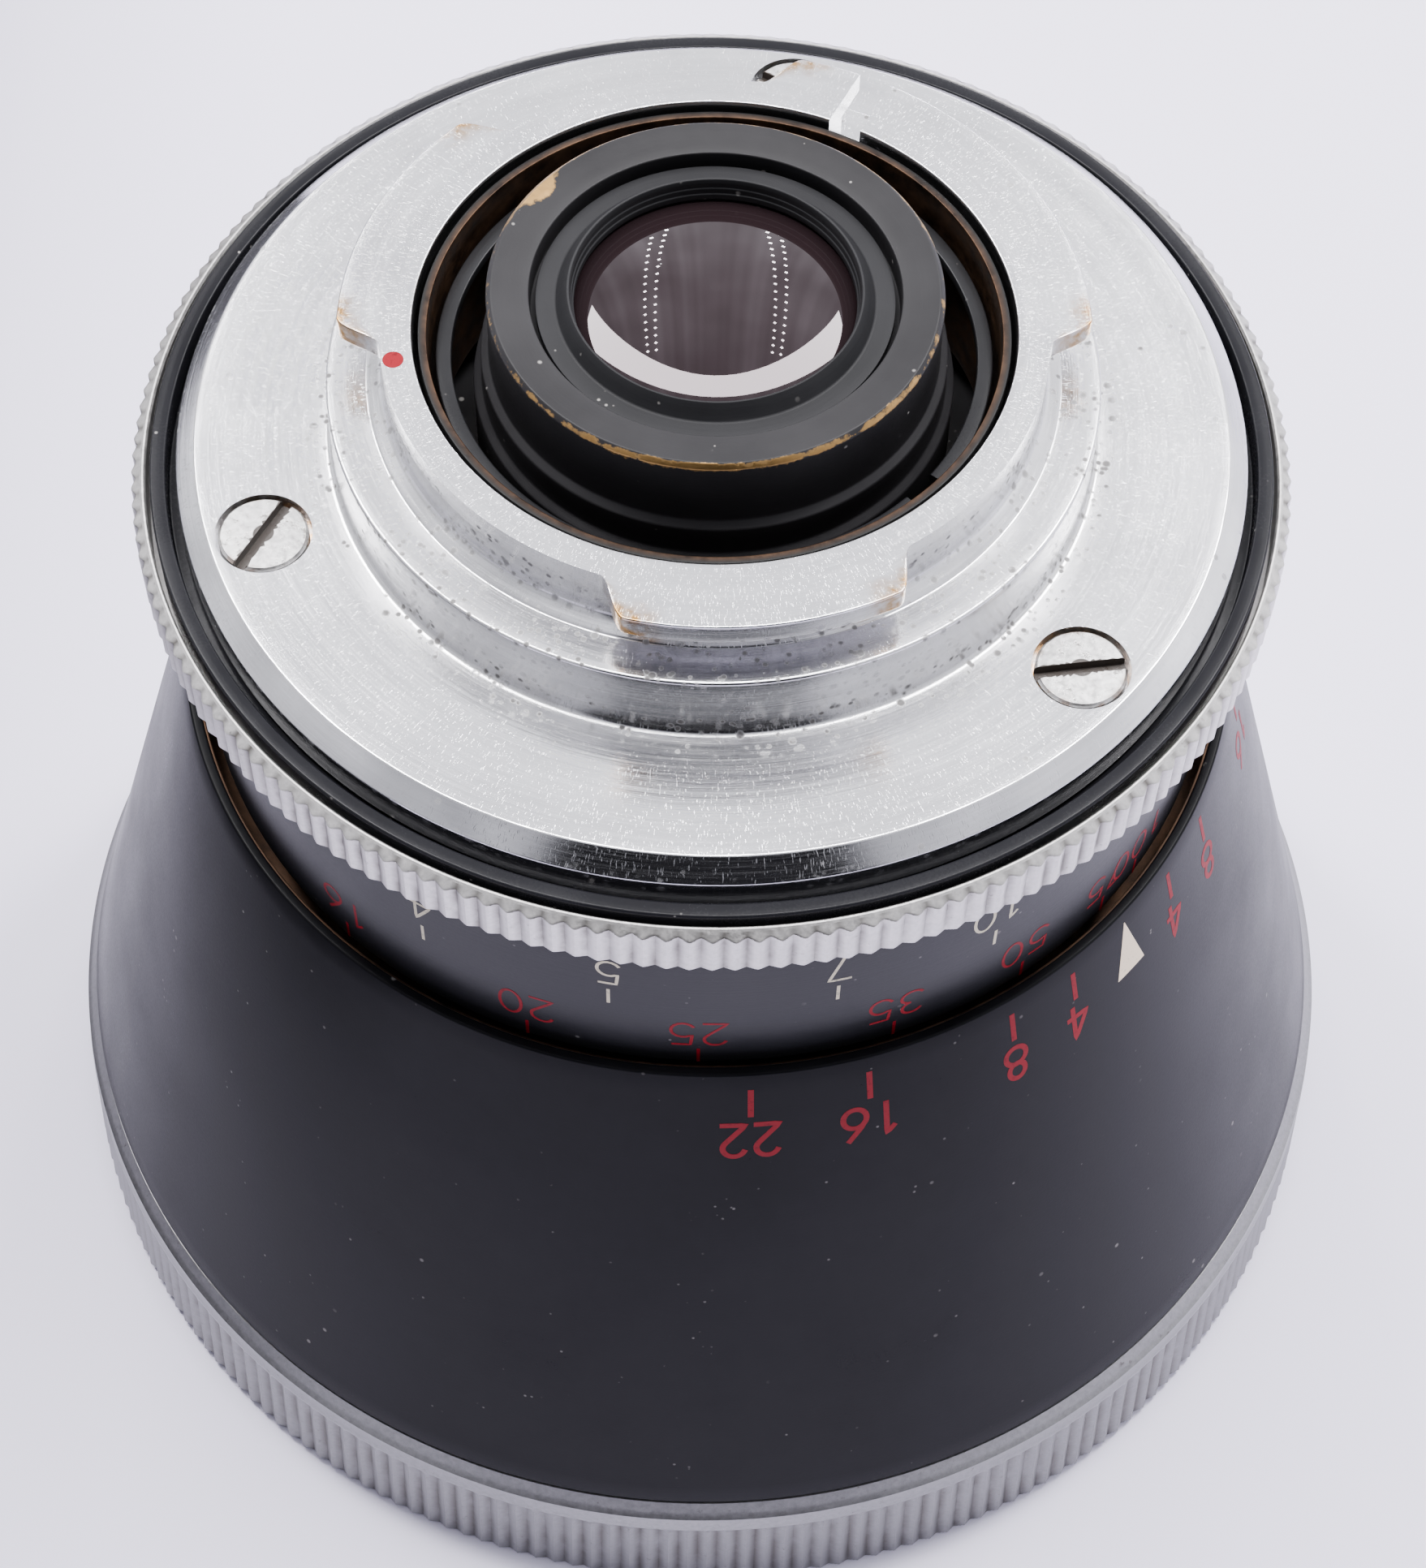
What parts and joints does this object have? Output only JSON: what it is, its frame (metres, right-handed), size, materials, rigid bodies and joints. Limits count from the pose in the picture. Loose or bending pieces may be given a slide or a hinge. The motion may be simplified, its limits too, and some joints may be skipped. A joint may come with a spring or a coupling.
{
  "type": "wide-angle camera lens",
  "caption": "Manual-focus wide-angle lens with a bayonet, knurled focusing ring, wide black cone and knurled front aperture ring, standing on its front.",
  "frame": {"origin": "centre of the circle on which the front ring's rim rests", "axes": "+Z along the optical axis from the front rim towards the bayonet; -Y is the side that carries the figures facing the viewer"},
  "size_m": [0.0926, 0.0926, 0.0818],
  "materials": {
    "turned_aluminium": "bright concentric turning, worn and lightly scratched",
    "knurled_silver": "matte silver, knurled",
    "black_enamel": "satin-gloss black",
    "black_painted_brass": "black paint worn to brass at the edge",
    "scale_grey": "satin dark grey with engraved figures",
    "black_anodised": "matte black",
    "tarnished_brass": "brown tarnish",
    "steel": "plain machined",
    "blackened_steel": "blued and blackened, matte",
    "coated_glass": "polished, with a purple-brown coating",
    "red_enamel": "red filling of figures and index dot",
    "ivory_enamel": "ivory filling of figures and index mark"
  },
  "bodies": {
    "mount": {"bayonet_mount": "turned_aluminium", "rear_housing": "black_anodised", "mount_screw_1": "steel", "mount_screw_2": "steel", "mount_screw_3": "steel", "baffle_sleeve": "tarnished_brass", "baffle_clip": "steel", "travel_key": "steel", "key_screw": "steel"},
    "focus": {"focus_ring": "knurled_silver", "distance_scale_ring": "scale_grey", "focus_nut": "tarnished_brass", "focus_pin_1": "steel", "focus_pin_2": "steel", "focus_pin_3": "steel"},
    "front": {"cone_shell": "black_enamel", "rear_barrel": "black_painted_brass", "lens_barrel": "black_anodised", "front_cell": "black_anodised", "front_bezel": "black_anodised", "front_retaining_ring": "black_anodised", "second_retaining_ring": "black_anodised", "rear_retaining_ring": "black_anodised", "rear_spacer": "black_anodised", "middle_spacer": "black_anodised", "inner_spacer": "black_anodised", "iris_plate": "black_anodised", "helicoid_tube": "tarnished_brass", "front_element": "coated_glass", "second_element": "coated_glass", "third_element": "coated_glass", "fourth_element": "coated_glass", "fifth_element": "coated_glass", "rear_element": "coated_glass"},
    "aperture": {"aperture_ring": "knurled_silver", "aperture_link": "tarnished_brass", "link_screw": "steel", "iris_drive_ring": "tarnished_brass"},
    "blade_1": {"iris_blade_1": "blackened_steel"},
    "blade_2": {"iris_blade_2": "blackened_steel"},
    "blade_3": {"iris_blade_3": "blackened_steel"},
    "blade_4": {"iris_blade_4": "blackened_steel"},
    "blade_5": {"iris_blade_5": "blackened_steel"},
    "blade_6": {"iris_blade_6": "blackened_steel"}
  },
  "joints": [
    {"name": "focus_turn", "type": "hinge", "parent": "mount", "child": "focus", "pos_m": [0, 0, 0.0665], "axis": [0, 0, 1], "range_deg": [-23.9, 276.1]},
    {"name": "focus_travel", "type": "slide", "parent": "mount", "child": "front", "axis": [0, 0, -1], "range_m": [-0.00027, 0.00307]},
    {"name": "aperture_turn", "type": "hinge", "parent": "front", "child": "aperture", "pos_m": [0, 0, 0], "axis": [0, 0, 1], "range_deg": [0, 54]},
    {"name": "blade_turn_1", "type": "hinge", "parent": "front", "child": "blade_1", "pos_m": [0.0162, 0, 0.056], "axis": [0, 0, 1], "range_deg": [0, 33.6]},
    {"name": "blade_turn_2", "type": "hinge", "parent": "front", "child": "blade_2", "pos_m": [0.0081, 0.01403, 0.056], "axis": [0, 0, 1], "range_deg": [0, 33.6]},
    {"name": "blade_turn_3", "type": "hinge", "parent": "front", "child": "blade_3", "pos_m": [-0.0081, 0.01403, 0.056], "axis": [0, 0, 1], "range_deg": [0, 33.6]},
    {"name": "blade_turn_4", "type": "hinge", "parent": "front", "child": "blade_4", "pos_m": [-0.0162, 0, 0.056], "axis": [0, 0, 1], "range_deg": [0, 33.6]},
    {"name": "blade_turn_5", "type": "hinge", "parent": "front", "child": "blade_5", "pos_m": [-0.0081, -0.01403, 0.056], "axis": [0, 0, 1], "range_deg": [0, 33.6]},
    {"name": "blade_turn_6", "type": "hinge", "parent": "front", "child": "blade_6", "pos_m": [0.0081, -0.01403, 0.056], "axis": [0, 0, 1], "range_deg": [0, 33.6]}
  ],
  "couplings": [
    {"joint": "focus_travel", "follows": "focus_turn", "m_per_rad": 0.00063662},
    {"joint": "blade_turn_1", "follows": "aperture_turn", "ratio": 0.62222},
    {"joint": "blade_turn_2", "follows": "aperture_turn", "ratio": 0.62222},
    {"joint": "blade_turn_3", "follows": "aperture_turn", "ratio": 0.62222},
    {"joint": "blade_turn_4", "follows": "aperture_turn", "ratio": 0.62222},
    {"joint": "blade_turn_5", "follows": "aperture_turn", "ratio": 0.62222},
    {"joint": "blade_turn_6", "follows": "aperture_turn", "ratio": 0.62222}
  ]
}
